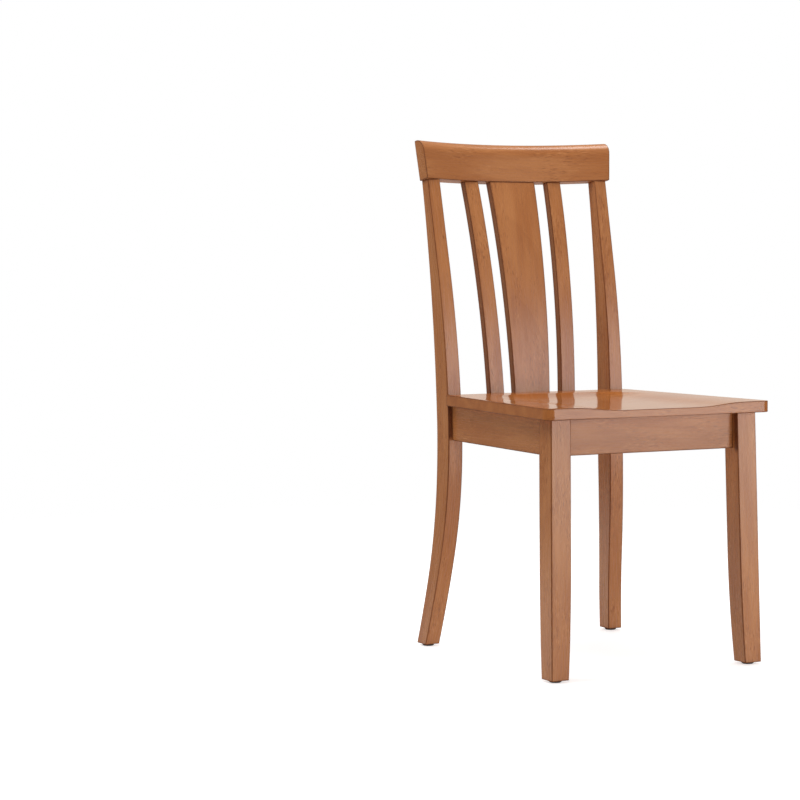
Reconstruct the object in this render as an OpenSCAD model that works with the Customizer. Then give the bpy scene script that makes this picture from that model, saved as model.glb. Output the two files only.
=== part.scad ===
// Dining chair: dished board seat, two curved rear posts, a crest rail bent across the back,
// a wide centre splat, two narrow slats, four aprons, two front legs and braced corners.
// The front of the chair faces -Y, up is +Z, the floor is z = 0. Sizes are in millimetres.

/* [Seat] */
// Height of the flat rim of the seat above the floor
seat_top = 457; // [430:1:480]
// Thickness of the seat board at its rim
seat_thick = 20; // [16:1:26]
// Width of the seat across its front edge
seat_front_w = 455; // [420:1:480]
// Width of the seat across its rear edge
seat_rear_w = 380; // [370:1:420]
// Distance from the front edge of the seat to its rear edge
seat_depth = 401; // [390:1:401]
// Plan radius of the two front corners
seat_corner_r = 16; // [6:1:40]
// Depth of the hollow along its lowest line
dish_depth = 6.6; // [4:0.5:11]
// Half width of the level floor of the hollow
dish_floor_half = 70; // [50:1:110]
// Radius of the two curves between the floor of the hollow and its side rims
dish_side_r = 480; // [300:1:600]
// Radius of the curve that lifts the back of the hollow up to the rear rim
dish_rear_r = 555; // [400:1:700]
// Distance from the front edge to where the rear lift starts
dish_rear_start = 270; // [240:1:290]

/* [Front legs] */
// Side of the square section at the top of a front leg
leg_w = 39; // [32:0.5:42]
// How much each inner face loses at the foot
leg_taper = 5.2; // [0:0.1:10]
// Height above the floor where the taper starts
leg_taper_start = 200; // [120:1:300]
// Distance between the outer faces of the front legs at the top
leg_spread = 414.4; // [390:1:430]
// Distance from the front edge of the seat back to the front face of a leg at the top
leg_set_back = 19; // [10:1:30]
// Angle that each front leg leans outward
leg_splay = 0.76; // [0:0.01:2]
// Angle that each front leg leans forward
leg_rake = 2.05; // [0:0.05:4]

/* [Rear posts] */
// Distance between the outer faces of the rear posts at apron height
post_spread = 371.4; // [350:1:380]
// Width of a rear post, seen from the front, at apron height
post_w = 29; // [24:0.1:34]
// Slope outward of the outer edge above the aprons
post_outer_slope = 0.0091; // [0:0.0001:0.03]
// Slope outward of the inner edge above the aprons
post_inner_slope = 0.0183; // [0:0.0001:0.03]
// Height where the outer edge starts to flare out toward the foot
post_outer_flare_z = 402; // [340:1:430]
// Radius of the outer flare
post_outer_flare_r = 3160; // [2400:10:4000]
// Height where the inner edge starts to flare out toward the foot
post_inner_flare_z = 382; // [330:1:420]
// Radius of the inner flare
post_inner_flare_r = 2840; // [2200:10:4000]
// Distance from the front edge of the seat to the foremost line of a post
post_front = 398.9; // [395:0.5:405]
// Height of the foremost line of a post
post_front_z = 342; // [300:1:380]
// Radius of the front edge above its foremost line
post_front_up_r = 1620; // [1400:10:2000]
// Angle from upright of the straight top part of the front edge
post_front_top_lean = 12.3; // [8:0.1:14]
// Radius of the front edge below its foremost line
post_front_down_r = 1168; // [900:1:1500]
// Angle from upright of the straight lower part of the front edge
post_front_foot_lean = 9.37; // [6:0.01:12]
// Distance from the front edge of the seat to the foremost line of the back edge
post_back = 441.5; // [430:0.5:450]
// Height of that line on the back edge
post_back_z = 300; // [260:1:340]
// Radius of the back edge above that line
post_back_up_r = 2900; // [2400:10:3400]
// Angle from upright of the straight top end of the back edge
post_back_top_lean = 11.6; // [8:0.1:14]
// Radius of the back edge below that line
post_back_down_r = 1326; // [1000:1:1600]
// Angle from upright of the straight lower part of the back edge
post_back_foot_lean = 8.36; // [6:0.01:10]

/* [Aprons] */
// Height of all four aprons
apron_h = 62; // [50:1:80]
// Thickness of the front apron
front_apron_t = 20; // [16:1:24]
// Distance from the front edge of the seat back to the front face of the front apron
front_apron_set_back = 31; // [26:1:34]
// Thickness of a side apron
side_apron_t = 18; // [16:1:22]
// Distance between the outer faces of the side aprons at the front legs
side_apron_front_w = 393.5; // [380:0.5:400]
// Distance between the outer faces of the side aprons at the rear posts
side_apron_rear_w = 354.8; // [345:0.1:360]
// Thickness of the rear rail
rear_rail_t = 25; // [22:1:28]
// Distance from the front edge of the seat to the back face of the rear rail
rear_rail_back = 431; // [428:0.5:434]

/* [Crest rail] */
// Height of the crest rail, measured along its face
crest_h = 72.5; // [60:0.5:90]
// Thickness of the crest rail
crest_t = 28.5; // [24:0.5:32]
// Width of the crest rail along its lower edge
crest_low_w = 388; // [380:1:400]
// Width of the crest rail along its upper edge
crest_top_w = 400; // [388:1:420]
// Radius of the bent front face
crest_bend_r = 619; // [500:5:800]
// Angle that the crest rail leans back
crest_lean = 9.2; // [6:0.1:12]
// Radius of the rounded front edge along the top
crest_round_r = 22; // [5:0.5:24]
// Height of the lower front edge at mid width
crest_z = 838.3; // [800:1:860]
// Distance from the front edge of the seat to that edge
crest_front = 493; // [480:0.5:500]

/* [Splat and slats] */
// Thickness of the splat and the slats
slat_t = 15; // [12:0.5:17]
// Width of a narrow slat
slat_w = 29.5; // [20:0.5:36]
// Distance from the centre line to the middle of a slat at seat height
slat_low_x = 75; // [66:0.5:80]
// Distance from the centre line to the middle of a slat at the crest rail
slat_top_x = 88; // [80:0.5:100]
// Width of the centre splat at seat height
splat_low_w = 73; // [60:0.5:80]
// Width of the centre splat at the crest rail
splat_top_w = 96; // [80:0.5:100]
// Radius of the curve of the slats, seen from the side
slat_bend_r = 1645; // [1400:5:2000]
// Height of the foremost line of that curve
slat_bend_z = 334; // [310:1:360]
// Distance from the front edge of the seat to that line
slat_front = 410.5; // [408:0.5:413]
// How far the splat stands behind the slats
splat_set_back = 2; // [0:0.5:3]
// Length of the tenons at both ends of the splat and the slats
slat_tenon = 18; // [10:1:22]
// Shoulder left all round those tenons
slat_shoulder = 2; // [1:0.5:3]

/* [Joints and fasteners] */
// Diameter of the apron dowels
dowel_d = 9; // [6:0.5:10]
// Length of the apron dowels
dowel_l = 38; // [24:1:40]
// Diameter of the dowel between a post and the crest rail
crest_dowel_d = 11; // [8:0.5:12]
// Length of that dowel
crest_dowel_l = 60; // [40:1:80]
// Height of a corner block
block_h = 45; // [40:1:50]
// Thickness of a corner block across its slanting faces
block_t = 24; // [18:1:30]
// Length of the corner that a block cuts off along each apron
block_reach = 75; // [60:1:90]
// Diameter of the hanger bolts in the front legs
bolt_d = 8; // [6:0.5:8]
// Depth of a hanger bolt in the leg
bolt_bite = 26; // [18:1:30]
// Shank diameter of the wood screws
screw_d = 4.2; // [3:0.1:5]
// Height of a floor glide
glide_h = 4; // [3:0.5:8]
// Diameter of a floor glide
glide_d = 21; // [14:0.5:24]

/* [Hidden] */
$fn = 64;
// Number of flats used when a very large radius is drawn
big_fn = 360;
eps = 0.01;
seat_under = seat_top - seat_thick;
apron_low = seat_under - apron_h;
overall_depth = crest_front + crest_t * cos(crest_lean) + crest_h * sin(crest_lean);
// Every distance from the front edge of the seat is counted from this line
front_y = -overall_depth / 2;
dish_rise = sqrt(dish_depth * dish_side_r);
side_angle = atan((seat_front_w - seat_rear_w) / 2 / seat_depth);
leg_top_y = front_y + leg_set_back;
leg_back_y = leg_top_y + leg_w;
post_x = post_spread / 2;
apron_run = post_front - leg_set_back - leg_w;
apron_angle = atan((side_apron_front_w - side_apron_rear_w) / 2 / apron_run);
apron_y = front_y + front_apron_set_back;
rail_y = front_y + rear_rail_back - rear_rail_t;
// Two dowel heights for the front and rear aprons, two others for the side aprons
cross_dowel_z = [apron_low + 9, seat_under - 9];
side_dowel_z = [apron_low + 19, seat_under - 19];
dowel_slack = 1;
bolt_z = seat_under - apron_h / 2;
block_screw_z = seat_under - 22;
block_screw_len = 24;
seat_screw_len = 24;
seat_screw_head_z = seat_under - 18;
screw_head_d = 8.4;
screw_head_h = 3;
washer_d = 20;
washer_t = 1.6;
nut_w = 13;
nut_h = 6.5;
nail_d = 2.4;
nail_l = 16;

// Colours of the four materials
wood = [0.66, 0.40, 0.22];
bare_wood = [0.80, 0.66, 0.46];
steel = [0.72, 0.73, 0.75];
dark_plastic = [0.16, 0.13, 0.12];

// ---- shared helpers -------------------------------------------------------------------

// The piece on the +X side for s = 1, or its mirror image on the -X side for s = -1
module side(s) {
    if (s > 0) children();
    else mirror([1, 0, 0]) children();
}

// The piece on both sides
module both() {
    side(1) children();
    side(-1) children();
}

// Turns a drawing of (y, z) into a plate w wide, centred on x = 0
module from_side(w) {
    translate([-w / 2, 0, 0]) rotate([90, 0, 90]) linear_extrude(w) children();
}

// Turns a drawing of (x, z) into a plate that covers the whole depth of the chair
module from_front() {
    translate([0, overall_depth, 0]) rotate([90, 0, 0]) linear_extrude(2 * overall_depth) children();
}

// ---- seat -----------------------------------------------------------------------------

// Plan of the seat: a trapezoid with two rounded front corners
module seat_plan() {
    fw = seat_front_w / 2;
    rw = seat_rear_w / 2;
    r = seat_corner_r;
    cy = r;
    cx = fw - cy * tan(side_angle) - r / cos(side_angle);
    tx = cx + r * cos(side_angle);
    ty = cy + r * sin(side_angle);
    translate([0, front_y]) union() {
        polygon([[-cx, 0], [cx, 0], [tx, ty], [rw, seat_depth], [-rw, seat_depth], [-tx, ty]]);
        translate([cx, cy]) circle(r);
        translate([-cx, cy]) circle(r);
    }
}

// Half section of the hollow: a level floor, then a rise that bends up and levels off at the rim
module dish_half() {
    cut_h = dish_depth + 12;
    square([dish_floor_half, cut_h]);
    intersection() {
        translate([dish_floor_half - 1, 0]) square([dish_rise + 1, cut_h]);
        translate([dish_floor_half, dish_side_r]) circle(dish_side_r, $fn = big_fn);
    }
    difference() {
        translate([dish_floor_half + dish_rise - 0.5, dish_depth / 2])
            square([dish_rise + 0.5, cut_h - dish_depth / 2]);
        translate([dish_floor_half + 2 * dish_rise, dish_depth - dish_side_r])
            circle(dish_side_r, $fn = big_fn);
    }
}

module dish_section() {
    union() {
        dish_half();
        mirror([1, 0]) dish_half();
    }
}

// The hollow: a level trough that runs out through the front edge, and a lifted rear end
module dish() {
    translate([0, front_y + dish_rear_start, seat_top - dish_depth]) union() {
        rotate([90, 0, 0]) linear_extrude(dish_rear_start + 40) dish_section();
        translate([0, 0, dish_rear_r]) rotate([0, 90, 0]) rotate([0, 0, -eps])
            rotate_extrude(angle = 16, $fn = big_fn)
                translate([dish_rear_r, 0]) rotate(90) dish_section();
    }
}

module seat() {
    color(wood) difference() {
        translate([0, 0, seat_under]) linear_extrude(seat_thick) seat_plan();
        dish();
        seat_screw_shanks();
    }
}

// ---- front legs -----------------------------------------------------------------------

// Outline of the leg blank with one tapered face: outer face on x = 0, top at z = 0
module leg_outline(length, drop) {
    taper_len = leg_taper_start - glide_h;
    taper_r = taper_len * taper_len / 2 / leg_taper;
    start = -(seat_under - leg_taper_start);
    union() {
        translate([-leg_w, start]) square([leg_w, drop - start]);
        intersection() {
            translate([-leg_w, -length]) square([leg_w, length + start + 1]);
            translate([taper_r - leg_w, start]) circle(taper_r, $fn = big_fn);
        }
    }
}

// Frame of the right leg: origin at its front outer corner at the top, z along the leg
module on_leg() {
    translate([leg_spread / 2, leg_top_y, seat_under]) rotate([-leg_rake, -leg_splay, 0]) children();
}

// Right leg in its place: blank tapered on the inner and the rear face, leaned, cut level
module leg_shape() {
    length = seat_under + 20;
    intersection() {
        on_leg() intersection() {
            translate([0, 100, 0]) rotate([90, 0, 0]) linear_extrude(200) leg_outline(length, 20);
            mirror([0, 1, 0]) translate([-100, 0, 0]) rotate([90, 0, 90]) linear_extrude(200)
                leg_outline(length, 20);
        }
        translate([0, front_y - 100, glide_h]) cube([400, 400, seat_under - glide_h]);
    }
}

module front_leg(s) {
    side(s) color(wood) difference() {
        leg_shape();
        front_dowels(dowel_slack);
        side_front_dowels(dowel_slack);
        hanger_bolt();
        glide_nail_front();
    }
}

module front_leg_left() {
    front_leg(-1);
}

module front_leg_right() {
    front_leg(1);
}

// ---- rear posts -----------------------------------------------------------------------

// Side view: everything behind a curved edge. From the foot up the edge is a straight line,
// an arc down_r, an arc up_r and a straight line again. Its foremost point is (line_y, line_z).
module behind_edge(line_y, line_z, up_r, up_lean, down_r, down_lean) {
    top_z = 1000;
    far = line_y + 300;
    up_y = line_y + up_r * (1 - cos(up_lean));
    up_z = line_z + up_r * sin(up_lean);
    down_y = line_y + down_r * (1 - cos(down_lean));
    down_z = line_z - down_r * sin(down_lean);
    union() {
        polygon([[far, 0], [far, top_z], [up_y + (top_z - up_z) * tan(up_lean), top_z], [up_y, up_z],
                 [line_y, line_z], [down_y, down_z], [down_y + down_z * tan(down_lean), 0]]);
        intersection() {
            translate([line_y - 1, line_z]) square([200, up_z - line_z]);
            translate([line_y + up_r, line_z]) circle(up_r, $fn = big_fn);
        }
        intersection() {
            translate([line_y - 1, down_z]) square([200, line_z - down_z]);
            translate([line_y + down_r, line_z]) circle(down_r, $fn = big_fn);
        }
    }
}

module post_front_edge() {
    behind_edge(post_front, post_front_z, post_front_up_r, post_front_top_lean,
                post_front_down_r, post_front_foot_lean);
}

module post_side_view() {
    difference() {
        post_front_edge();
        behind_edge(post_back, post_back_z, post_back_up_r, post_back_top_lean,
                    post_back_down_r, post_back_foot_lean);
    }
}

// Front view: everything outside an edge that is straight above flare_z and flares below it
module outside_edge(x, slope, flare_z, flare_r) {
    top_z = 1000;
    foot_x = x + flare_r - sqrt(flare_r * flare_r - flare_z * flare_z);
    union() {
        polygon([[x + 200, 0], [x + 200, top_z], [x + (top_z - flare_z) * slope, top_z],
            [x, flare_z], [foot_x, 0]]);
        intersection() {
            translate([x - 1, 0]) square([150, flare_z]);
            translate([x + flare_r, flare_z]) circle(flare_r, $fn = big_fn);
        }
    }
}

module post_inner_edge() {
    outside_edge(post_x - post_w, post_inner_slope, post_inner_flare_z, post_inner_flare_r);
}

// Front view of the right post
module post_front_view() {
    difference() {
        post_inner_edge();
        outside_edge(post_x, post_outer_slope, post_outer_flare_z, post_outer_flare_r);
    }
}

// Everything under the underside of the crest rail, which leans with the rail
module under_crest() {
    translate([0, front_y + crest_front, crest_z]) rotate([-crest_lean, 0, 0]) translate([-500, -500, -1200])
        cube([1000, 1000, 1200]);
}

module post_shape() {
    intersection() {
        translate([0, front_y, 0]) from_side(600) post_side_view();
        from_front() post_front_view();
        translate([0, -500, glide_h]) cube([400, 1000, 1000]);
        under_crest();
    }
}

module rear_post(s) {
    side(s) color(wood) difference() {
        post_shape();
        rail_dowels(dowel_slack);
        side_rear_dowels(dowel_slack);
        crest_dowel(dowel_slack);
        glide_nail_rear();
    }
}

module rear_post_left() {
    rear_post(-1);
}

module rear_post_right() {
    rear_post(1);
}

// ---- aprons ---------------------------------------------------------------------------

module front_apron() {
    color(wood) difference() {
        translate([-leg_spread / 2, apron_y, apron_low]) cube([leg_spread, front_apron_t, apron_h]);
        both() on_leg() translate([-leg_w, -200, -200]) cube([400, 400, 400]);
        both() front_dowels(dowel_slack);
        both() block_screws_front_cross();
    }
}

module rear_rail() {
    color(wood) difference() {
        translate([-post_spread / 2, rail_y, apron_low]) cube([post_spread, rear_rail_t, apron_h]);
        both() from_front() post_inner_edge();
        both() rail_dowels(dowel_slack);
        both() slat_shape(slat_w / 2 - slat_shoulder, slat_shoulder);
        splat_shape(slat_shoulder);
        both() block_screws_rear_cross();
    }
}

// Frame of a right side apron: origin on its outer face at the front leg, y along the apron
module along_side_apron() {
    translate([side_apron_front_w / 2, leg_back_y, 0]) rotate([0, 0, apron_angle]) children();
}

// The board before drilling: its ends follow the back face of the leg and the front of the post
module side_apron_board() {
    difference() {
        along_side_apron() translate([-side_apron_t, -20, apron_low])
            cube([side_apron_t, apron_run / cos(apron_angle) + 40, apron_h]);
        on_leg() translate([-200, -200, -200]) cube([400, 200 + leg_w, 400]);
        translate([0, front_y, 0]) from_side(600) post_front_edge();
    }
}

module side_apron(s) {
    side(s) color(wood) difference() {
        side_apron_board();
        side_front_dowels(dowel_slack);
        side_rear_dowels(dowel_slack);
        block_screws_front_side();
        block_screws_rear_side();
    }
}

module side_apron_left() {
    side_apron(-1);
}

module side_apron_right() {
    side_apron(1);
}

// ---- crest rail -----------------------------------------------------------------------

// Frame of the crest rail: origin at its lower front edge at mid width, z along its face
module on_crest() {
    translate([0, front_y + crest_front, crest_z]) rotate([-crest_lean, 0, 0]) children();
}

// Section of the crest rail: distance behind the front face across, height up
module crest_section() {
    r = crest_round_r;
    union() {
        square([crest_t, crest_h - r]);
        translate([r, crest_h - r - 1]) square([crest_t - r, r + 1]);
        intersection() {
            translate([r, crest_h - r]) circle(r);
            translate([0, crest_h - r - 1]) square([r + 1, r + 1]);
        }
    }
}

// Front view of the crest rail: a little wider at the top than at the bottom
module crest_outline() {
    lw = crest_low_w / 2;
    tw = crest_top_w / 2;
    grow = (tw - lw) / crest_h;
    polygon([[-lw + grow, -1], [lw - grow, -1], [tw + grow, crest_h + 1], [-tw - grow, crest_h + 1]]);
}

module crest_blank() {
    on_crest() intersection() {
        translate([0, -crest_bend_r, 0]) rotate([0, 0, 60]) rotate_extrude(angle = 60, $fn = big_fn)
            translate([crest_bend_r, 0]) crest_section();
        translate([0, 60, 0]) rotate([90, 0, 0]) linear_extrude(200) crest_outline();
    }
}

module crest_rail() {
    color(wood) difference() {
        crest_blank();
        both() crest_dowel(dowel_slack);
        both() slat_shape(slat_w / 2 - slat_shoulder, slat_shoulder);
        splat_shape(slat_shoulder);
    }
}

// ---- splat and slats ------------------------------------------------------------------

// Side view of a slat: a ring sector, thinned by a shoulder on both faces
module slat_side_view(shoulder) {
    intersection() {
        difference() {
            translate([slat_front + slat_bend_r, slat_bend_z])
                circle(slat_bend_r - shoulder, $fn = big_fn);
            translate([slat_front + slat_bend_r, slat_bend_z])
                circle(slat_bend_r - slat_t + shoulder, $fn = big_fn);
        }
        translate([slat_front - 10, seat_under - slat_tenon]) square([300, 600]);
    }
}

// The end of the tenons inside the crest rail
module under_tenon_top() {
    on_crest() translate([-500, -500, -1200]) cube([1000, 1000, 1200 + slat_tenon]);
}

// A right slat of the given half width, long enough to include both tenons
module slat_shape(half, shoulder) {
    run = crest_z - seat_under;
    lean = (slat_top_x - slat_low_x) / run;
    low = slat_low_x - 100 * lean;
    top = slat_top_x + 100 * lean;
    intersection() {
        translate([0, front_y, 0]) from_side(400) slat_side_view(shoulder);
        from_front() polygon([[low - half, seat_under - 100], [low + half, seat_under - 100],
                              [top + half, crest_z + 100], [top - half, crest_z + 100]]);
        under_tenon_top();
    }
}

// The splat, or its tenons' thinner and narrower core when a shoulder is given
module splat_shape(shoulder) {
    run = crest_z - seat_under;
    grow = (splat_top_w - splat_low_w) / 2 / run;
    low = splat_low_w / 2 - 100 * grow - shoulder;
    top = splat_top_w / 2 + 100 * grow - shoulder;
    translate([0, splat_set_back, 0]) intersection() {
        translate([0, front_y, 0]) from_side(400) slat_side_view(shoulder);
        from_front() polygon([[-low, seat_under - 100], [low, seat_under - 100],
                              [top, crest_z + 100], [-top, crest_z + 100]]);
        translate([0, -splat_set_back, 0]) under_tenon_top();
    }
}

// The part of a slat that shows between the rear rail and the crest rail
module between_rails() {
    intersection() {
        under_crest();
        translate([-500, -500, seat_under]) cube([1000, 1000, 600]);
        children();
    }
}

module slat(s) {
    side(s) color(wood) union() {
        between_rails() slat_shape(slat_w / 2, 0);
        slat_shape(slat_w / 2 - slat_shoulder, slat_shoulder);
    }
}

module slat_left() {
    slat(-1);
}

module slat_right() {
    slat(1);
}

module center_splat() {
    color(wood) union() {
        between_rails() splat_shape(0);
        splat_shape(slat_shoulder);
    }
}

// ---- dowels ---------------------------------------------------------------------------

// A dowel along x, centred on the origin; slack lengthens it to leave a glue pocket in the hole
module dowel(d, l, slack) {
    rotate([0, 90, 0]) cylinder(h = l + 2 * slack, d = d, center = true);
}

module front_dowels(slack) {
    x = leg_spread / 2 - leg_w + 1;
    for (z = cross_dowel_z) translate([x, apron_y + front_apron_t / 2, z]) dowel(dowel_d, dowel_l, slack);
}

module rail_dowels(slack) {
    x = post_x - post_w;
    for (z = cross_dowel_z) translate([x, rail_y + rear_rail_t / 2, z]) dowel(dowel_d, dowel_l, slack);
}

module side_front_dowels(slack) {
    along_side_apron() for (z = side_dowel_z)
        translate([-side_apron_t / 2, 0, z]) rotate([0, 0, 90]) dowel(dowel_d, dowel_l, slack);
}

module side_rear_dowels(slack) {
    along_side_apron() for (z = side_dowel_z)
        translate([-side_apron_t / 2, apron_run / cos(apron_angle), z]) rotate([0, 0, 90])
            dowel(dowel_d, dowel_l, slack);
}

module crest_dowel(slack) {
    x = post_x - post_w / 2 + (crest_z - post_outer_flare_z) * (post_outer_slope + post_inner_slope) / 2;
    translate([x, front_y + crest_front - 10.5, crest_z])
        rotate([-crest_lean - 1.4, 0, 0]) rotate([0, 90, 0])
        dowel(crest_dowel_d, crest_dowel_l, slack);
}

module front_apron_dowels() {
    color(bare_wood) both() front_dowels(0);
}

module rear_rail_dowels() {
    color(bare_wood) both() rail_dowels(0);
}

module side_apron_front_dowels() {
    color(bare_wood) both() side_front_dowels(0);
}

module side_apron_rear_dowels() {
    color(bare_wood) both() side_rear_dowels(0);
}

module crest_dowels() {
    color(bare_wood) both() crest_dowel(0);
}

// ---- corner blocks --------------------------------------------------------------------

// Inner face of a right side apron at a distance y from its front leg
function apron_inner_x(y) = side_apron_front_w / 2 - side_apron_t / cos(apron_angle) - y * tan(apron_angle);

front_corner_y = apron_y + front_apron_t;
rear_corner_y = rail_y;
front_corner_x = apron_inner_x(front_corner_y - leg_back_y);
rear_corner_x = apron_inner_x(rear_corner_y - leg_back_y);
block_step = block_t * sqrt(2);

// Plan of a right front block: a strip across the corner, mitred against both aprons
module front_block_plan() {
    x = front_corner_x;
    y = front_corner_y;
    far = y + block_reach;
    near = far - block_step;
    polygon([[x - block_reach, y], [x - block_reach + block_step, y],
             [apron_inner_x(near - leg_back_y), near], [apron_inner_x(far - leg_back_y), far]]);
}

module rear_block_plan() {
    x = rear_corner_x;
    y = rear_corner_y;
    far = y - block_reach;
    near = far + block_step;
    polygon([[x - block_reach, y], [x - block_reach + block_step, y],
             [apron_inner_x(near - leg_back_y), near], [apron_inner_x(far - leg_back_y), far]]);
}

module corner_block_front(s) {
    side(s) color(bare_wood) difference() {
        translate([0, 0, seat_under - block_h]) linear_extrude(block_h) front_block_plan();
        hanger_bolt();
        washer_seat();
        block_screws_front_cross();
        block_screws_front_side();
        seat_screw_front();
    }
}

module corner_block_rear(s) {
    side(s) color(bare_wood) difference() {
        translate([0, 0, seat_under - block_h]) linear_extrude(block_h) rear_block_plan();
        block_screws_rear_cross();
        block_screws_rear_side();
        seat_screw_rear();
    }
}

module corner_block_front_left() {
    corner_block_front(-1);
}

module corner_block_front_right() {
    corner_block_front(1);
}

module corner_block_rear_left() {
    corner_block_rear(-1);
}

module corner_block_rear_right() {
    corner_block_rear(1);
}

// ---- hanger bolts ---------------------------------------------------------------------

bolt_x = leg_spread / 2 - leg_w + 0.5;
bolt_y = leg_back_y - 0.8;
// Distance along the bolt from the edge of the leg to the washer, one millimetre inside the block
bolt_seat = (front_corner_y - bolt_y - front_corner_x + bolt_x + block_reach) / sqrt(2) + 0.5;

// Frame of a right hanger bolt: origin on the inner edge of the leg, x across the corner
module on_bolt() {
    translate([bolt_x, bolt_y, bolt_z]) rotate([0, 0, 135]) children();
}

module hanger_bolt() {
    on_bolt() translate([-bolt_bite, 0, 0]) rotate([0, 90, 0])
        cylinder(h = bolt_bite + bolt_seat + washer_t + nut_h + 4, d = bolt_d);
}

// The flat that is bored into the slanting face of the block for the washer
module washer_seat() {
    on_bolt() translate([bolt_seat, 0, 0]) rotate([0, 90, 0]) cylinder(h = 20, d = washer_d + 1);
}

module hanger_washer() {
    on_bolt() translate([bolt_seat, 0, 0]) rotate([0, 90, 0]) difference() {
        cylinder(h = washer_t, d = washer_d);
        translate([0, 0, -1]) cylinder(h = washer_t + 2, d = bolt_d);
    }
}

module hanger_nut() {
    on_bolt() translate([bolt_seat + washer_t, 0, 0]) rotate([0, 90, 0]) difference() {
        cylinder(h = nut_h, d = nut_w / cos(30), $fn = 6);
        translate([0, 0, -1]) cylinder(h = nut_h + 2, d = bolt_d);
    }
}

module hanger_bolts() {
    color(steel) both() hanger_bolt();
}

module hanger_washers() {
    color(steel) both() hanger_washer();
}

module hanger_nuts() {
    color(steel) both() hanger_nut();
}

// ---- screws ---------------------------------------------------------------------------

// A wood screw that points along +z: the top of its head is on z = 0
module screw(shank) {
    cylinder(h = screw_head_h, d = screw_head_d);
    translate([0, 0, screw_head_h - 0.5]) cylinder(h = shank + 0.5, d = screw_d);
}

// The screw and the counterbore that its head sits in
module screw_hole(shank, bore) {
    screw(shank);
    translate([0, 0, -bore]) cylinder(h = bore + 1, d = screw_head_d);
}

// Right-hand positions of the screws through the front block
module at_front_cross_screw() {
    translate([front_corner_x - block_reach + 20, front_corner_y + 15, block_screw_z])
        rotate([90, 0, 0]) children();
}

module at_front_side_screw() {
    y = front_corner_y + block_reach - 20;
    translate([apron_inner_x(y - leg_back_y) - 14, y, block_screw_z]) rotate([0, 90, 0]) children();
}

module at_front_seat_screw() {
    translate([front_corner_x - 42, front_corner_y + 16, seat_screw_head_z]) children();
}

// Right-hand positions of the screws through the rear block
module at_rear_cross_screw() {
    translate([rear_corner_x - block_reach + 20, rear_corner_y - 15, block_screw_z])
        rotate([-90, 0, 0]) children();
}

module at_rear_side_screw() {
    y = rear_corner_y - block_reach + 20;
    translate([apron_inner_x(y - leg_back_y) - 14, y, block_screw_z]) rotate([0, 90, 0]) children();
}

module at_rear_seat_screw() {
    translate([rear_corner_x - 42, rear_corner_y - 16, seat_screw_head_z]) children();
}

// Holes cut by those screws
module block_screws_front_cross() {
    at_front_cross_screw() screw_hole(block_screw_len, 30);
}

module block_screws_front_side() {
    at_front_side_screw() screw_hole(block_screw_len, 30);
}

module block_screws_rear_cross() {
    at_rear_cross_screw() screw_hole(block_screw_len, 30);
}

module block_screws_rear_side() {
    at_rear_side_screw() screw_hole(block_screw_len, 30);
}

module seat_screw_front() {
    at_front_seat_screw() screw_hole(seat_screw_len, 40);
}

module seat_screw_rear() {
    at_rear_seat_screw() screw_hole(seat_screw_len, 40);
}

module seat_screw_shanks() {
    both() at_front_seat_screw() screw(seat_screw_len);
    both() at_rear_seat_screw() screw(seat_screw_len);
}

module corner_block_screws() {
    color(steel) both() {
        at_front_cross_screw() screw(block_screw_len);
        at_front_side_screw() screw(block_screw_len);
        at_rear_cross_screw() screw(block_screw_len);
        at_rear_side_screw() screw(block_screw_len);
    }
}

module seat_screws() {
    color(steel) seat_screw_shanks();
}

// ---- floor glides ---------------------------------------------------------------------

leg_drop = seat_under - glide_h;
front_foot_x = leg_spread / 2 + leg_drop * tan(leg_splay) - (leg_w - leg_taper) / 2;
front_foot_y = leg_top_y - leg_drop * tan(leg_rake) + (leg_w - leg_taper) / 2;
rear_foot_outer = post_x + pow(post_outer_flare_z - glide_h, 2) / 2 / post_outer_flare_r;
rear_foot_inner = post_x - post_w + pow(post_inner_flare_z - glide_h, 2) / 2 / post_inner_flare_r;
rear_foot_x = (rear_foot_outer + rear_foot_inner) / 2;

// Distance behind the front edge of the seat of an edge that is an arc above a straight foot
function foot_y(line_y, line_z, r, lean) =
    line_y + r * (1 - cos(lean)) + (line_z - r * sin(lean) - glide_h) * tan(lean);

rear_foot_front = foot_y(post_front, post_front_z, post_front_down_r, post_front_foot_lean);
rear_foot_back = foot_y(post_back, post_back_z, post_back_down_r, post_back_foot_lean);
rear_foot_y = front_y + (rear_foot_front + rear_foot_back) / 2;

module glide() {
    difference() {
        union() {
            cylinder(h = 1.2, d1 = glide_d - 3, d2 = glide_d);
            translate([0, 0, 1.2]) cylinder(h = glide_h - 1.2, d = glide_d);
        }
        translate([0, 0, -1]) cylinder(h = 3, d = 6);
        translate([0, 0, -1]) cylinder(h = glide_h + 2, d = nail_d);
    }
}

module glide_nail() {
    translate([0, 0, 1]) cylinder(h = 1, d = 6);
    translate([0, 0, 1.5]) cylinder(h = nail_l, d = nail_d);
}

module glide_nail_front() {
    translate([front_foot_x, front_foot_y, 0]) glide_nail();
}

module glide_nail_rear() {
    translate([rear_foot_x, rear_foot_y, 0]) glide_nail();
}

module foot_glides() {
    color(dark_plastic) both() {
        translate([front_foot_x, front_foot_y, 0]) glide();
        translate([rear_foot_x, rear_foot_y, 0]) glide();
    }
}

module glide_nails() {
    color(steel) both() {
        glide_nail_front();
        glide_nail_rear();
    }
}

// ---- assembly -------------------------------------------------------------------------

seat();
front_leg_left();
front_leg_right();
rear_post_left();
rear_post_right();
front_apron();
rear_rail();
side_apron_left();
side_apron_right();
crest_rail();
center_splat();
slat_left();
slat_right();
corner_block_front_left();
corner_block_front_right();
corner_block_rear_left();
corner_block_rear_right();
front_apron_dowels();
rear_rail_dowels();
side_apron_front_dowels();
side_apron_rear_dowels();
crest_dowels();
hanger_bolts();
hanger_washers();
hanger_nuts();
corner_block_screws();
seat_screws();
foot_glides();
glide_nails();
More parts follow.
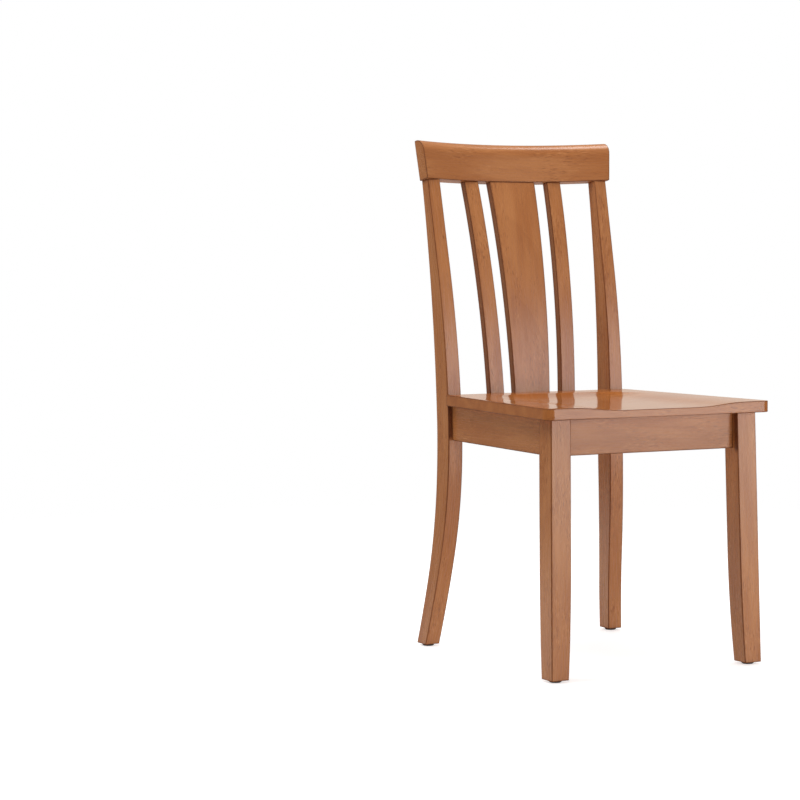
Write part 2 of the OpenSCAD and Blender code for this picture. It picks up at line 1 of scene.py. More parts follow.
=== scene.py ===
"""A dining chair in stained hardwood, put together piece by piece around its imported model.
All lengths are in metres."""

import math

import bpy
import numpy as np
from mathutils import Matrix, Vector


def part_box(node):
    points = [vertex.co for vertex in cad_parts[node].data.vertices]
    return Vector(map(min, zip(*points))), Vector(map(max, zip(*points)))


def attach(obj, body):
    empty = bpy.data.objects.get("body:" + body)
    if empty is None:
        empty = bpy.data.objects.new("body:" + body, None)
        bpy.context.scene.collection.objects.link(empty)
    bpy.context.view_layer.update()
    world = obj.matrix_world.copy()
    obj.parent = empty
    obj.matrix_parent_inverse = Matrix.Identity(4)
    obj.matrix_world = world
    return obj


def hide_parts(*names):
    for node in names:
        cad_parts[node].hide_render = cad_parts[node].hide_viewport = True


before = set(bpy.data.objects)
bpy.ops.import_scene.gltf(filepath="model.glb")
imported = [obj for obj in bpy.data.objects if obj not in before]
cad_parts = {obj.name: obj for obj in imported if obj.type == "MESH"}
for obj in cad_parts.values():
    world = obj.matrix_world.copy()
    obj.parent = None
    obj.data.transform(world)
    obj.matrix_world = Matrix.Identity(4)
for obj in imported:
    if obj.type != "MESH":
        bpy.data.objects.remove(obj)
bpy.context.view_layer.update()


# ---- front legs ------------------------------------------------------------------------
# Two square legs of solid hardwood, sawn and planed, that lean forward and outward.
# Below the aprons the inner and the rear face are planed to a slow taper.
# The edges are eased with sandpaper, and the stain is wiped on and lacquered.

def marks(size, low, high, middle):
    """Places for the cuts across one side of a board: close together in its two rounded ends."""
    first = [low * i / 4 for i in range(5)] + [low + 0.002, low + 0.005]
    last = [high * i / 4 for i in range(5)] + [high + 0.002, high + 0.005]
    first = [v for v in first if v < 0.45 * size]
    last = [size - v for v in reversed(last) if v < 0.45 * size]
    step = (last[0] - first[-1]) / (middle + 1)
    return np.array(first + [first[-1] + step * (i + 1) for i in range(middle)] + last)


def board(name, size, corners, ends, cuts, shape, along=2, mirrored=False, figure=(0, 0, 0),
          shade_and_glaze_mask=None):
    """A board as a closed mesh. It is drawn flat, size[0] by size[1] in section and size[2] long,
    with a radius for each of its four long edges and one for its end edges. shape() then puts
    the flat points in place. along is the axis of the grain, and figure is the part of the log
    that the board is cut from. The last argument says where painted shade darkens the board,
    partly standing for stain that collects there, from 0 to 1."""
    a_size, b_size, c_size = size
    r00, r10, r11, r01 = corners
    a_marks = marks(a_size, max(r00, r01), max(r10, r11), cuts[0])
    b_marks = marks(b_size, max(r00, r10), max(r01, r11), cuts[1])
    c_marks = marks(c_size, ends, ends, cuts[2])
    na, nb, nc = len(a_marks) - 1, len(b_marks) - 1, len(c_marks) - 1
    found, points, faces = {}, [], []

    def at(i, j, k):
        if (i, j, k) not in found:
            found[i, j, k] = len(points)
            points.append((a_marks[i], b_marks[j], c_marks[k]))
        return found[i, j, k]

    def side(p, q, r, s, turn):
        faces.append((s, r, q, p) if turn else (p, q, r, s))

    for j in range(nb):
        for k in range(nc):
            for i, turn in ((0, False), (na, True)):
                side(at(i, j, k), at(i, j, k + 1), at(i, j + 1, k + 1), at(i, j + 1, k), turn)
    for i in range(na):
        for k in range(nc):
            for j, turn in ((0, False), (nb, True)):
                side(at(i, j, k), at(i + 1, j, k), at(i + 1, j, k + 1), at(i, j, k + 1), turn)
    for i in range(na):
        for j in range(nb):
            for k, turn in ((0, False), (nc, True)):
                side(at(i, j, k), at(i, j + 1, k), at(i + 1, j + 1, k), at(i + 1, j, k), turn)

    a, b, c = np.array(points).T
    a_gap = np.minimum(a, a_size - a)
    b_gap = np.minimum(b, b_size - b)
    c_gap = np.minimum(c, c_size - c)
    rim = np.minimum(a_gap, b_gap)

    # How far each point is from the nearest crisp edge: the glaze settles there
    long_edge = np.full(len(a), 1.0)
    for ca, cb, r in ((0, 0, r00), (a_size, 0, r10), (a_size, b_size, r11), (0, b_size, r01)):
        if r < 0.006:
            long_edge = np.minimum(long_edge, np.maximum(abs(a - ca), abs(b - cb)))
    on_end = c_gap < 1e-9
    edge = np.where(on_end, rim, np.minimum(long_edge, c_gap))
    log = np.stack([a, b, c], 1)
    # Painted shade, in part stain that collects, from 0 to 1 at each point
    shade_and_glaze = np.zeros(len(a)) if shade_and_glaze_mask is None else np.asarray(shade_and_glaze_mask(a, b, c), float)

    # The end edges: pull the rim in where it meets an end
    near = (rim < ends) & (c_gap < ends)
    reach = np.hypot(rim - ends, c_gap - ends)
    reach[reach == 0] = 1
    pull = np.maximum(abs(rim - ends), abs(c_gap - ends)) / reach
    new_rim = np.where(near, ends + (rim - ends) * pull, rim)
    new_gap = np.where(near, ends + (c_gap - ends) * pull, c_gap)
    a_mid, b_mid = a_size / 2, b_size / 2
    a = a_mid + (a - a_mid) * (a_mid - new_rim) / (a_mid - rim + 1e-12)
    b = b_mid + (b - b_mid) * (b_mid - new_rim) / (b_mid - rim + 1e-12)
    c = np.where(c < c_size / 2, new_gap, c_size - new_gap)

    # The long edges: each corner of the section becomes a quarter circle
    for sa, sb, r in ((-1, -1, r00), (1, -1, r10), (1, 1, r11), (-1, 1, r01)):
        ca, cb = a_mid + sa * (a_mid - r), b_mid + sb * (b_mid - r)
        da, db = (a - ca) * sa, (b - cb) * sb
        inside = (da > 0) & (db > 0)
        length = np.where(inside, np.hypot(da, db), 1)
        grow = np.where(inside, np.maximum(da, db) / length, 1)
        a = np.where(inside, ca + sa * da * grow, a)
        b = np.where(inside, cb + sb * db * grow, b)

    x, y, z = shape(a, b, c)
    placed = np.stack([-x if mirrored else x, y, z], 1)
    quads = np.array(faces)
    p, q, r, s = (placed[quads[:, i]] for i in range(4))
    if np.einsum("ij,ij->", p, np.cross(q - p, r - p) + np.cross(r - p, s - p)) < 0:
        quads = quads[:, ::-1]
    mesh = bpy.data.meshes.new(name)
    mesh.from_pydata(placed.tolist(), [], quads.tolist())
    mesh.polygons.foreach_set("use_smooth", [True] * len(faces))
    order = {2: (0, 1, 2), 0: (1, 2, 0), 1: (2, 0, 1)}[along]
    grain = log[:, order] + np.array(figure)
    mesh.attributes.new("grain", "FLOAT_VECTOR", "POINT").data.foreach_set("vector", grain.ravel())
    mesh.attributes.new("edge", "FLOAT", "POINT").data.foreach_set("value", edge)
    mesh.attributes.new("shade_and_glaze", "FLOAT", "POINT").data.foreach_set("value", shade_and_glaze)
    mesh.update()
    piece = bpy.data.objects.new(name, mesh)
    bpy.context.scene.collection.objects.link(piece)
    flats = piece.modifiers.new("flats", "WEIGHTED_NORMAL")
    flats.keep_sharp = False
    return piece


def finish_piece(piece, material, slot, *nodes):
    piece.data.materials.append(material)
    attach(piece, "root")
    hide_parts(*nodes)


class Nodes:
    """A short way to lay out the nodes of a material."""

    def __init__(self, name):
        self.material = bpy.data.materials.new(name)
        self.material.use_nodes = True
        self.tree = self.material.node_tree
        self.tree.nodes.clear()
        self.out = self.tree.nodes.new("ShaderNodeOutputMaterial")

    def add(self, kind, sockets=None, **settings):
        node = self.tree.nodes.new("ShaderNode" + kind)
        for key, value in settings.items():
            setattr(node, key, value)
        for key, value in (sockets or {}).items():
            if isinstance(value, bpy.types.NodeSocket):
                self.tree.links.new(value, node.inputs[key])
            else:
                node.inputs[key].default_value = value
        return node

    def math(self, operation, a, b=0.0, clamp=False):
        return self.add("Math", {0: a, 1: b}, operation=operation, use_clamp=clamp).outputs[0]

    def vector(self, operation, a, b):
        return self.add("VectorMath", {0: a, 1: b}, operation=operation).outputs[0]

    def noise(self, place, scale, detail=2.0, rough=0.5):
        return self.add("TexNoise", {"Vector": place, "Scale": scale, "Detail": detail,
                                     "Roughness": rough}).outputs["Fac"]

    def between(self, value, low, high, to_low=0.0, to_high=1.0, smooth=True):
        return self.add("MapRange", {0: value, 1: low, 2: high, 3: to_low, 4: to_high},
                        interpolation_type="SMOOTHSTEP" if smooth else "LINEAR").outputs[0]

    def mix(self, amount, a, b, blend="MIX"):
        inputs = {0: amount, 6: a, 7: b}
        return self.add("Mix", inputs, data_type="RGBA", blend_type=blend).outputs[2]

    def shine(self, base, rough, **more):
        """The surface that the light meets, joined to the output."""
        sockets = {"Base Color": base, "Roughness": rough}
        sockets.update({key.replace("_", " "): value for key, value in more.items()})
        shader = self.add("BsdfPrincipled", sockets)
        self.tree.links.new(shader.outputs[0], self.out.inputs[0])
        return shader


def colour(red, green, blue):
    """A paint-chart colour, 0 to 255, as the linear light that a shader takes."""
    parts = [v / 255 for v in (red, green, blue)]
    linear = [v / 12.92 if v <= 0.04045 else ((v + 0.055) / 1.055) ** 2.4 for v in parts]
    return (*linear, 1.0)


def stained_wood(name, gloss, boards=0.0, shade_tint=(1, 1, 1, 1)):
    """Medium orange-brown stain under satin lacquer. boards is the width of the glued-up
    boards of a panel, or 0 for a piece sawn from one board. The last argument is painted
    shade: it darkens the colour, most in blue, to offset the light and sheen on the piece."""
    n = Nodes(name)
    grain = n.add("Attribute", attribute_name="grain").outputs["Vector"]
    if boards:
        part = n.add("SeparateXYZ", {0: grain}).outputs
        strip = n.math("FLOOR", n.math("DIVIDE", part[0], boards))
        luck = n.add("TexWhiteNoise", {"W": strip}, noise_dimensions="1D").outputs
        grain = n.vector("ADD", grain, n.vector("MULTIPLY", luck["Color"], (3.0, 0.02, 3.0)))
    along = n.vector("MULTIPLY", grain, (1, 1, 0.055))
    wander = n.noise(n.vector("MULTIPLY", grain, (1, 1, 0.30)), 14, 2)
    wide = n.noise(n.vector("MULTIPLY", grain, (1, 1, 0.16)), 34, 3, 0.55)
    fibre = n.noise(along, 420, 3, 0.6)
    fine = n.noise(along, 1500, 2, 0.6)
    # Growth rings of a flat-sawn board: circles round a far centre, bent by a slow wander
    parts = n.add("SeparateXYZ", {0: grain}).outputs
    across = n.math("ADD", parts[0], n.math("MULTIPLY", wander, 0.055))
    deep = n.math("ADD", n.math("ADD", parts[1], 0.028), n.math("MULTIPLY", parts[2], 0.045))
    squares = n.math("ADD", n.math("MULTIPLY", across, across), n.math("MULTIPLY", deep, deep))
    radius = n.math("SQRT", squares)
    ring = n.math("FRACT", n.math("MULTIPLY", radius, 150))
    late = n.math("POWER", ring, 3.0)
    # Open pores: short dark dashes along the grain
    cell = n.add("TexVoronoi", {"Vector": n.vector("MULTIPLY", grain, (1, 1, 0.10)), "Scale": 620,
                                "Randomness": 1.0}).outputs
    pore = n.math("LESS_THAN", cell["Distance"], 0.16)
    seldom = n.math("GREATER_THAN", n.noise(along, 90, 1), 0.52)
    pore = n.math("MULTIPLY", pore, seldom)
    # Short flecks of ray, darker or paler than the wood round them
    fleck = n.noise(n.vector("MULTIPLY", grain, (1, 1, 0.16)), 560, 1)
    some = n.between(n.noise(n.vector("MULTIPLY", grain, (1, 1, 0.5)), 22, 1), 0.46, 0.60)
    pale, mid, deep_tone = colour(193, 127, 76), colour(176, 109, 60), colour(148, 84, 43)
    base = n.mix(n.between(wide, 0.32, 0.68), mid, pale)
    late_share = n.math("MULTIPLY", late, n.between(wander, 0.35, 0.65, 0.03, 0.20))
    base = n.mix(late_share, base, deep_tone)
    base = n.mix(n.between(fibre, 0.48, 0.72, 0.0, 0.30), base, deep_tone)
    base = n.mix(n.between(fine, 0.50, 0.75, 0.0, 0.22), base, pale)
    dark_fleck = n.math("MULTIPLY", n.between(fleck, 0.60, 0.68), n.math("MULTIPLY", some, 0.50))
    pale_fleck = n.math("MULTIPLY", n.between(fleck, 0.40, 0.32), n.math("MULTIPLY", some, 0.42))
    base = n.mix(dark_fleck, base, colour(128, 70, 36))
    base = n.mix(pale_fleck, base, colour(214, 152, 100))
    # Painted shade: the colour is multiplied down, most in blue, to offset the light and sheen on
    # the piece
    base = n.mix(1.0, base, shade_tint, "MULTIPLY")
    base = n.mix(n.math("MULTIPLY", pore, 0.45), base, colour(110, 62, 36))
    # The glaze that is wiped off the faces stays in a thin line along each edge
    away = n.add("Attribute", attribute_name="edge").outputs["Fac"]
    rag = n.noise(n.vector("MULTIPLY", grain, (1, 1, 0.5)), 160, 2)
    ragged = n.math("ADD", away, n.math("MULTIPLY", rag, -0.0010))
    line = n.between(ragged, 0.0001, 0.0017, 1.0, 0.0)
    line = n.math("MULTIPLY", line, n.between(wander, 0.35, 0.65, 0.70, 1.0))
    halo = n.between(away, 0.0, 0.006, 0.14, 0.0)
    shade_and_glaze = n.add("Attribute", attribute_name="shade_and_glaze").outputs["Fac"]
    base = n.mix(halo, base, colour(120, 66, 38))
    base = n.mix(n.math("MULTIPLY", line, 0.82), base, colour(98, 54, 34))
    # Painted shade: darker in the recesses beside the aprons, where stain also collects, and on
    # the slats' narrow sides
    base = n.mix(n.math("MULTIPLY", shade_and_glaze, 0.85), base, colour(84, 40, 22))
    rough = n.math("MAXIMUM", n.between(fibre, 0.3, 0.7, gloss - 0.03, gloss + 0.03),
                   n.math("MULTIPLY", line, 0.7))
    height = n.math("ADD", n.math("MULTIPLY", fibre, 0.6), n.math("MULTIPLY", pore, -0.9))
    bump = n.add("Bump", {"Strength": 0.06, "Distance": 0.0001, "Height": height}).outputs[0]
    shader = n.shine(base, rough, Normal=bump, Specular_IOR_Level=n.between(line, 0, 1, 0.5, 0.05))
    shader.inputs["IOR"].default_value = 1.50
    return n.material


chair_wood = stained_wood("chair_wood", 0.27)

seat_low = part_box("seat")[0].z
seat_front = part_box("seat")[0].y
glide_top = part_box("foot_glides")[1].z
leg_side = 0.0390
leg_taper = 0.0052
leg_taper_start = 0.200
leg_splay = math.radians(0.76)
leg_rake = math.radians(2.05)
leg_top_x = 0.2072
leg_top_y = seat_front + 0.019


def leg_place(a, b, c):
    """a runs inward from the outer face, b back from the front face, c up from the glide."""
    height = glide_top + c
    down = height - seat_low
    taper_run = leg_taper_start - glide_top
    taper_radius = taper_run ** 2 / 2 / leg_taper
    below = np.maximum(0, -(down + seat_low - leg_taper_start))
    thin = taper_radius - np.sqrt(taper_radius ** 2 - below ** 2)
    x = -a * (leg_side - thin) / leg_side
    y = b * (leg_side - thin) / leg_side
    sx, cx = math.sin(-leg_rake), math.cos(leg_rake)
    sy, cy = math.sin(-leg_splay), math.cos(leg_splay)
    z = ((down + x * sy) / cy - y * sx) / cx
    y, z = y * cx - z * sx, y * sx + z * cx
    x, z = x * cy + z * sy, -x * sy + z * cy
    return leg_top_x + x, leg_top_y + y, seat_low + z


def beside_front_apron(a, b, c):
    """Where painted shade darkens a leg: in the recess beside the front apron, where stain also
    pools.
    """
    return (a > leg_side - 0.0002) & (b < 0.0118) & (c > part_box("front_apron")[0].z - glide_top)


for hand, left in (("left", True), ("right", False)):
    leg = board("front_leg_" + hand + "_wood", (leg_side, leg_side, seat_low - glide_top),
                (0.002,) * 4, 0.0008, (3, 3, 44), leg_place, mirrored=left,
                figure=(0.013, 0.02, 0.7 if left else 1.9), shade_and_glaze_mask=beside_front_apron)
    finish_piece(leg, chair_wood, "stained_wood", "front_leg_" + hand)


# ---- rear posts ------------------------------------------------------------------------
# Each back leg and the upright above it are one piece, band-sawn to an S-curve from a thick
# plank. It is deepest at the seat, sweeps back to the foot and to the crest rail, and its
# inner and outer faces flare outward below the seat.

crest_low_z = 0.8383
crest_front_y = seat_front + 0.493
crest_lean = math.radians(9.2)


def swept(height, line, line_z, up_radius, up_lean, down_radius, down_lean):
    """Depth of a sawn edge at a height: an arc up and an arc down from line_z, then straight."""
    up = height - line_z
    up_end = up_radius * math.sin(math.radians(up_lean))
    down_end = down_radius * math.sin(math.radians(down_lean))
    arc_up = up_radius - np.sqrt(up_radius ** 2 - np.clip(up, 0, up_end) ** 2)
    arc_down = down_radius - np.sqrt(down_radius ** 2 - np.clip(-up, 0, down_end) ** 2)
    straight = (np.maximum(up - up_end, 0) * math.tan(math.radians(up_lean))
                + np.maximum(-up - down_end, 0) * math.tan(math.radians(down_lean)))
    return line + arc_up + arc_down + straight


def flared(height, line, slope, flare_z, radius):
    """Distance of a side face from the middle of the chair at a height."""
    below = np.maximum(flare_z - height, 0)
    above = np.maximum(height - flare_z, 0)
    return line + above * slope + radius - np.sqrt(radius ** 2 - below ** 2)


def under_crest(y):
    """Height of the underside of the crest rail, which leans back with the rail."""
    return crest_low_z - (y - crest_front_y) * math.tan(crest_lean)


post_wide = 0.0290
post_deep = 0.0426
post_outer_x = 0.1857


def post_front(height):
    return seat_front + swept(height, 0.3989, 0.342, 1.620, 12.3, 1.168, 9.37)


def post_back(height):
    return seat_front + swept(height, 0.4415, 0.300, 2.900, 11.6, 1.326, 8.36)


def post_inner(height):
    return flared(height, post_outer_x - post_wide, 0.0183, 0.382, 2.840)


def post_place(a, b, c):
    """a runs inward from the outer face, b back from the front face, c up from the glide."""
    def depth(height):
        return post_front(height) + (post_back(height) - post_front(height)) * b / post_deep
    share = c / (crest_low_z - glide_top)
    top = under_crest(depth(np.full(len(a), crest_low_z)))
    z = glide_top + share * (top - glide_top)
    outer = flared(z, post_outer_x, 0.0091, 0.402, 3.160)
    return outer + (post_inner(z) - outer) * a / post_wide, depth(z), z


def beside_side_apron(a, b, c):
    """Where painted shade darkens a post: in the recess beside the side apron, where stain also
    pools.
    """
    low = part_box("side_apron_right")[0].z - glide_top
    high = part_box("side_apron_right")[1].z - glide_top
    return (b < 0.0002) & (a < 0.009) & (c > low) & (c < high)


for hand, left in (("left", True), ("right", False)):
    post = board("rear_post_" + hand + "_wood", (post_wide, post_deep, crest_low_z - glide_top),
                 (0.0022,) * 4, 0.0008, (3, 4, 90), post_place, mirrored=left,
                 figure=(0.05, 0.01, 3.3 if left else 4.8), shade_and_glaze_mask=beside_side_apron)
    finish_piece(post, chair_wood, "stained_wood", "rear_post_" + hand)


# ---- aprons and rear rail --------------------------------------------------------------
# Four planed boards on edge that tie the legs together under the seat, dowelled and glued.
# They stand a little inside the faces of the legs, which leaves a shadow line at each end.

apron_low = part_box("front_apron")[0].z
apron_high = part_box("front_apron")[1].z
apron_tall = apron_high - apron_low


def leg_inner_x(z):
    """The inner face of a front leg where the front apron meets it."""
    return leg_top_x - leg_side / math.cos(leg_splay) + (seat_low - z) * math.tan(leg_splay)


def front_apron_place(a, b, c):
    z = apron_low + b
    half = leg_inner_x(z)
    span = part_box("front_apron")
    return half * (2 * c / front_apron_long - 1), span[0].y + a, z


front_apron_thick = 0.020
front_apron_long = 0.3395
front_apron = board("front_apron_wood", (front_apron_thick, apron_tall, front_apron_long),
                    (0.0012,) * 4, 0.0004, (2, 6, 40), front_apron_place,
                    figure=(0.004, -0.03, 6.1))
finish_piece(front_apron, chair_wood, "stained_wood", "front_apron")


def rear_rail_place(a, b, c):
    z = apron_low + b
    return post_inner(z) * (2 * c / rear_rail_long - 1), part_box("rear_rail")[0].y + a, z


rear_rail_thick = 0.025
rear_rail_long = 0.317
rear_rail = board("rear_rail_wood", (rear_rail_thick, apron_tall, rear_rail_long), (0.0012,) * 4,
                  0.0004, (2, 6, 36), rear_rail_place, figure=(0.01, -0.02, 7.7))
finish_piece(rear_rail, chair_wood, "stained_wood", "rear_rail")

side_apron_thick = 0.018
side_apron_front_x = 0.19675
side_apron_start_y = leg_top_y + leg_side
side_apron_run = seat_front + 0.3989 - side_apron_start_y
side_apron_turn = math.atan((0.3935 - 0.3548) / 2 / side_apron_run)


def leg_back_y(z):
    """The rear face of a front leg where the side apron meets it."""
    return leg_top_y + leg_side / math.cos(leg_rake) - (seat_low - z) * math.tan(leg_rake)


def side_apron_place(a, b, c):
    """a runs inward from the outer face, b up, c back from the front leg to the rear post."""
    z = apron_low + b
    share = c / side_apron_run
    ends = []
    for at_back in (0, 1):
        y = side_apron_start_y + at_back * side_apron_run
        for _ in range(3):
            inward = (y - side_apron_start_y) * math.tan(side_apron_turn)
            inward = inward + a / math.cos(side_apron_turn)
            y = post_front(z) if at_back else leg_back_y(z)
        ends.append((side_apron_front_x - inward, y))
    (x0, y0), (x1, y1) = ends
    return x0 + (x1 - x0) * share, y0 + (y1 - y0) * share, z


for hand, left in (("left", True), ("right", False)):
    apron = board("side_apron_" + hand + "_wood", (side_apron_thick, apron_tall, side_apron_run),
                  (0.0012,) * 4, 0.0004, (2, 6, 40), side_apron_place, mirrored=left,
                  figure=(0.006, -0.03, 9.2 if left else 8.5))
    finish_piece(apron, chair_wood, "stained_wood", "side_apron_" + hand)


# ---- slats and splat -------------------------------------------------------------------
# Three bent boards between the rear rail and the crest rail, tenoned at both ends: a wide
# splat in the middle and a narrow slat on each side. All three follow one long curve.

slat_thick = 0.015
slat_bend = 1.645
slat_bend_z = 0.334
slat_front_y = seat_front + 0.4105
slat_long = crest_low_z - apron_high
slat_wide = 0.0295
splat_low_wide = 0.073
splat_top_wide = 0.096


def on_narrow_sides(width):
    """Painted shade on the narrow sides of a slat, which are made darker than its faces."""
    return lambda a, b, c: 0.45 * ((a < 1e-9) | (a > width - 1e-9))


def slat_place(width, low_x, top_x, grow=0.0, back=0.0):
    def place(a, b, c):
        def depth(height):
            turn = height - slat_bend_z
            front = slat_bend - np.sqrt(slat_bend ** 2 - turn ** 2)
            rear = slat_bend - np.sqrt((slat_bend - slat_thick) ** 2 - turn ** 2)
            return slat_front_y + back + front + (rear - front) * b / slat_thick
        top = under_crest(depth(np.full(len(a), crest_low_z)))
        z = apron_high + c / slat_long * (top - apron_high)
        share = (z - apron_high) / slat_long
        x = low_x + (top_x - low_x) * share + (a - width / 2) * (1 + grow * share)
        return x, depth(z), z
    return place


for hand, left in (("left", True), ("right", False)):
    slat = board("slat_" + hand + "_wood", (slat_wide, slat_thick, slat_long), (0.0016,) * 4,
                 0.0005, (3, 2, 60), slat_place(slat_wide, 0.075, 0.088), mirrored=left,
                 figure=(0.03, 0.015, 11.0 if left else 12.6), shade_and_glaze_mask=on_narrow_sides(slat_wide))
    finish_piece(slat, chair_wood, "stained_wood", "slat_" + hand)
widening = (splat_top_wide - splat_low_wide) / splat_low_wide
splat = board("center_splat_wood", (splat_low_wide, slat_thick, slat_long), (0.0016,) * 4,
              0.0005, (10, 2, 60), slat_place(splat_low_wide, 0, 0, grow=widening, back=0.002),
              figure=(-0.035, -0.02, 14.0), shade_and_glaze_mask=on_narrow_sides(splat_low_wide))
finish_piece(splat, chair_wood, "stained_wood", "center_splat")


# ---- crest rail ------------------------------------------------------------------------
# The top rail, sawn from thick stock to a circular bend that cups the sitter's shoulders.
# It leans back, its ends are cut square, and its upper front edge is rounded over
# broadly while the other edges stay crisp.

crest_thick = 0.0285
crest_tall = 0.0725
crest_bend = 0.619
crest_low_half = 0.194
crest_top_half = 0.200


def crest_place(a, b, c):
    """a runs back from the front face, b up the face, c from the left end to the right end."""
    half = crest_low_half + (crest_top_half - crest_low_half) * b / crest_tall
    x = half * (2 * c / (2 * crest_top_half) - 1)
    y = np.sqrt((crest_bend + a) ** 2 - x ** 2) - crest_bend
    lean_y = y * math.cos(crest_lean) + b * math.sin(crest_lean)
    lean_z = b * math.cos(crest_lean) - y * math.sin(crest_lean)
    return x, crest_front_y + lean_y, crest_low_z + lean_z


crest = board("crest_rail_wood", (crest_thick, crest_tall, 2 * crest_top_half),
              (0.0016, 0.0016, 0.0020, 0.022), 0.0012, (4, 10, 60), crest_place,
              figure=(0.006, -0.035, 16.0))
finish_piece(crest, chair_wood, "stained_wood", "crest_rail")


# ---- seat ------------------------------------------------------------------------------
# A panel glued up from boards that run from side to side, hollowed for comfort: a wide
# shallow trough that runs out through the front edge, with a flat rim on the other sides.
# The front corners are rounded and the top edge is eased.

seat_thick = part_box("seat")[1].z - seat_low
seat_front_wide = 0.455
seat_rear_wide = 0.380
seat_deep = 0.401


def hollow(x, y):
    """Height of the hollow's surface above the seat's underside, at any point of the plan."""
    deep, bend = 0.0066, 0.480
    rise = math.sqrt(deep * bend)
    out = np.clip(abs(x) - 0.070, 0, 2 * rise)
    low_part = bend - np.sqrt(bend ** 2 - np.minimum(out, rise) ** 2)
    high_part = bend - np.sqrt(bend ** 2 - np.minimum(2 * rise - out, rise) ** 2)
    side = np.where(out < rise, low_part, deep - high_part)
    back = 0.555 - np.sqrt(0.555 ** 2 - np.maximum(y - 0.270, 0) ** 2)
    return seat_thick - deep + side + back


def seat_place(a, b, c):
    """a runs from the left side to the right, b back from the front edge, c up."""
    side = math.atan((seat_front_wide - seat_rear_wide) / 2 / seat_deep)
    half = (seat_front_wide / 2 - b * math.tan(side)) / (seat_front_wide / 2)
    x = (a - seat_front_wide / 2) * half
    high = np.minimum(hollow(x, b), seat_thick)
    return x, seat_front + b, seat_low + c * high / seat_thick


# The seat's colour is darkened, most in blue, as painted shade against the light and sheen on its
# top
seat_wood = stained_wood("seat_wood", 0.13, boards=0.092, shade_tint=(0.93, 0.82, 0.60, 1))
seat = board("seat_wood", (seat_front_wide, seat_deep, seat_thick),
             (0.016, 0.016, 0.0012, 0.0012), 0.0016, (90, 80, 2), seat_place, along=0,
             figure=(0.2, 0.01, 18.0))
finish_piece(seat, seat_wood, "stained_wood", "seat")


# ---- foot glides -----------------------------------------------------------------------
# Four round nail-on glides of dark moulded plastic, one under each foot.

def plastic(name):
    n = Nodes(name)
    place = n.add("TexCoord").outputs["Object"]
    speck = n.noise(place, 900, 2)
    base = n.mix(n.between(speck, 0.35, 0.7), colour(44, 36, 32), colour(66, 54, 47))
    rough = n.between(n.noise(place, 300, 2), 0.3, 0.7, 0.45, 0.6)
    bump = n.add("Bump", {"Strength": 0.2, "Distance": 0.0002, "Height": speck}).outputs[0]
    n.shine(base, rough, Normal=bump)
    return n.material


def carry(material, *names):
    """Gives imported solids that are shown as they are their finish."""
    for name in names:
        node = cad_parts[name]
        node.data.materials.clear()
        node.data.materials.append(material)


glide_plastic = plastic("glide_plastic")
carry(glide_plastic, "foot_glides")


# ---- hidden joinery --------------------------------------------------------------------
# Dowels and corner blocks of planed wood, left unstained, and the zinc-plated steel screws,
# bolts, washers, nuts and nails that hold the chair together.

def bare_wood(name):
    n = Nodes(name)
    place = n.add("TexCoord").outputs["Object"]
    wide = n.noise(n.vector("MULTIPLY", place, (1, 0.2, 1)), 40, 3)
    fibre = n.noise(n.vector("MULTIPLY", place, (1, 0.06, 1)), 500, 2)
    base = n.mix(n.between(wide, 0.35, 0.65), colour(206, 176, 132), colour(222, 196, 156))
    base = n.mix(n.between(fibre, 0.45, 0.75, 0, 0.5), base, colour(172, 136, 94))
    bump = n.add("Bump", {"Strength": 0.3, "Distance": 0.0003, "Height": fibre}).outputs[0]
    rough = n.between(fibre, 0.3, 0.7, 0.6, 0.75)
    n.shine(base, rough, Normal=bump)
    return n.material


def zinc(name):
    n = Nodes(name)
    place = n.add("TexCoord").outputs["Object"]
    patch = n.noise(place, 400, 3)
    base = n.mix(n.between(patch, 0.35, 0.65), colour(196, 198, 200), colour(172, 174, 178))
    rough = n.between(patch, 0.3, 0.7, 0.25, 0.42)
    n.shine(base, rough).inputs["Metallic"].default_value = 1.0
    return n.material


block_wood = bare_wood("block_wood")
zinc_plate = zinc("zinc_plate")
carry(block_wood, *[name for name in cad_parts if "dowels" in name])
carry(block_wood, "corner_block_front_left", "corner_block_front_right",
      "corner_block_rear_left", "corner_block_rear_right")
carry(zinc_plate, "hanger_bolts", "hanger_washers", "hanger_nuts", "corner_block_screws",
      "seat_screws", "glide_nails")


# ---- floor, light and camera -----------------------------------------------------------
# A round pale studio floor that fades out before its rim, with soft boxes in front, above,
# behind and to the left of the chair, and a long lens a little below the crest rail.

floor_radius = 2.7
floor_sides = 96
floor_mesh = bpy.data.meshes.new("floor")
turns = [math.tau * i / floor_sides for i in range(floor_sides)]
ring = [(floor_radius * math.cos(turn), floor_radius * math.sin(turn), 0.0) for turn in turns]
floor_mesh.from_pydata(ring, [], [tuple(range(floor_sides))])
floor = bpy.data.objects.new("floor", floor_mesh)
bpy.context.scene.collection.objects.link(floor)
n = Nodes("pale_floor")
place = n.add("TexCoord").outputs["Object"]
grey = n.between(n.noise(place, 0.6, 1), 0.3, 0.7, 0.80, 0.82)
paint = n.add("BsdfDiffuse", {"Color": n.mix(grey, (0, 0, 0, 1), (1, 1, 1, 1))}).outputs[0]
seen = n.add("LightPath").outputs["Is Camera Ray"]
glow = n.between(seen, 0, 1, 0.18, 0.62)
lamp = n.add("Emission", {"Color": (1, 1, 1, 1), "Strength": glow}).outputs[0]
both = n.add("AddShader")
n.tree.links.new(paint, both.inputs[0])
n.tree.links.new(lamp, both.inputs[1])
radius = n.add("VectorMath", {0: place}, operation="LENGTH").outputs["Value"]
fade = n.add("MixShader", {0: n.between(radius, 1.1, 2.6)})
n.tree.links.new(both.outputs[0], fade.inputs[1])
n.tree.links.new(n.add("BsdfTransparent").outputs[0], fade.inputs[2])
n.tree.links.new(fade.outputs[0], n.out.inputs[0])
floor_mesh.materials.append(n.material)

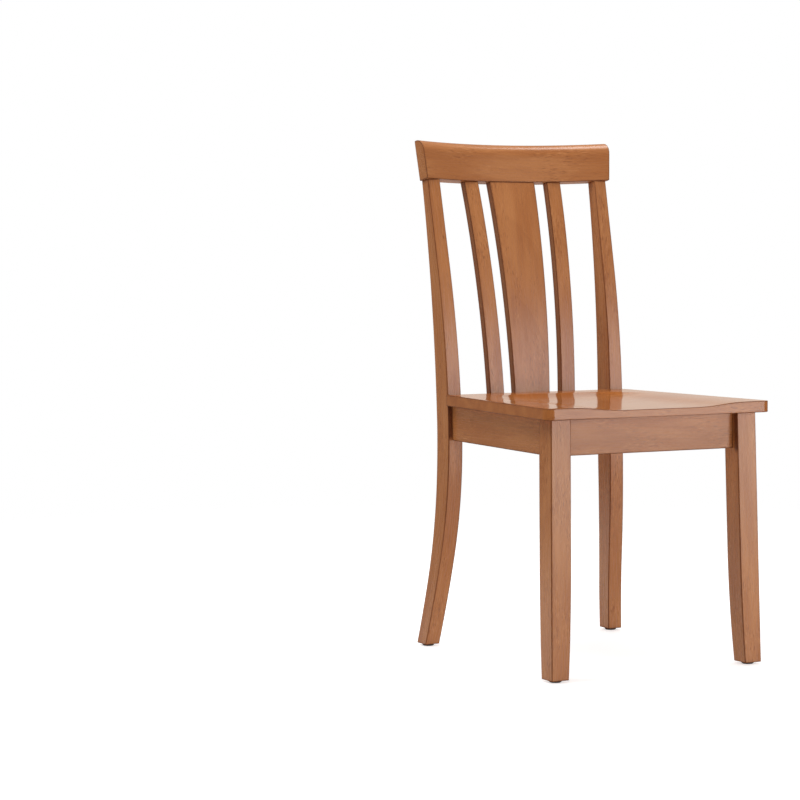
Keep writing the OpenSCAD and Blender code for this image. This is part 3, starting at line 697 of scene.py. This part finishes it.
world = bpy.data.worlds.new("studio")
bpy.context.scene.world = world
world.use_nodes = True
tree = world.node_tree
tree.nodes.clear()
sky = tree.nodes.new("ShaderNodeBackground")
white = tree.nodes.new("ShaderNodeBackground")
path = tree.nodes.new("ShaderNodeLightPath")
pick = tree.nodes.new("ShaderNodeMixShader")
world_out = tree.nodes.new("ShaderNodeOutputWorld")
sky.inputs[0].default_value = (1, 1, 1, 1)
sky.inputs[1].default_value = 0.22
white.inputs[0].default_value = (1, 1, 1, 1)
white.inputs[1].default_value = 1.0
tree.links.new(path.outputs["Is Camera Ray"], pick.inputs[0])
tree.links.new(sky.outputs[0], pick.inputs[1])
tree.links.new(white.outputs[0], pick.inputs[2])
tree.links.new(pick.outputs[0], world_out.inputs[0])


def softbox(name, place, target, size, watts, tint=(1, 1, 1)):
    lamp = bpy.data.lights.new(name, "AREA")
    lamp.shape = "RECTANGLE"
    lamp.size, lamp.size_y = size
    lamp.energy = watts
    lamp.color = tint
    box = bpy.data.objects.new(name, lamp)
    box.location = place
    box.rotation_euler = (Vector(target) - Vector(place)).to_track_quat("-Z", "Y").to_euler()
    box.visible_camera = False
    bpy.context.scene.collection.objects.link(box)
    return box


softbox("front_right_box", (1.5, -2.6, 0.68), (0, 0, 0.6), (1.8, 1.25), 27)
softbox("overhead_box", (0.55, 0.35, 3.1), (0, 0, 0.4), (1.3, 1.3), 33)
softbox("front_high_box", (-0.9, -1.1, 2.2), (0, 0.1, 0.85), (0.9, 0.9), 8.8)
softbox("left_box", (-1.3, 0.1, 2.2), (-0.2, 0.1, 0.75), (1.0, 1.0), 16)
softbox("rear_high_box", (0.3, 2.5, 2.2), (0, 0.2, 0.6), (1.4, 1.0), 16)
softbox("backdrop_box", (1.7, 3.2, 0.9), (0, 0, 0.5), (2.6, 1.8), 8.2, (1, 0.83, 0.68))

camera_data = bpy.data.cameras.new("camera")
camera_data.lens = 114.4
camera_data.sensor_width = 36
camera_data.clip_end = 60
camera = bpy.data.objects.new("camera", camera_data)
pitch = math.radians(3.709)
heading_x, heading_y = 0.4755, 0.8797
ahead = Vector((heading_x * math.cos(pitch), heading_y * math.cos(pitch), -math.sin(pitch)))
camera.location = (-2.413, seat_front - 3.5385, 0.741)
camera.rotation_mode = "QUATERNION"
camera.rotation_quaternion = ahead.to_track_quat("-Z", "Y")
bpy.context.scene.collection.objects.link(camera)
bpy.context.scene.camera = camera
bpy.context.scene.view_settings.view_transform = "Standard"
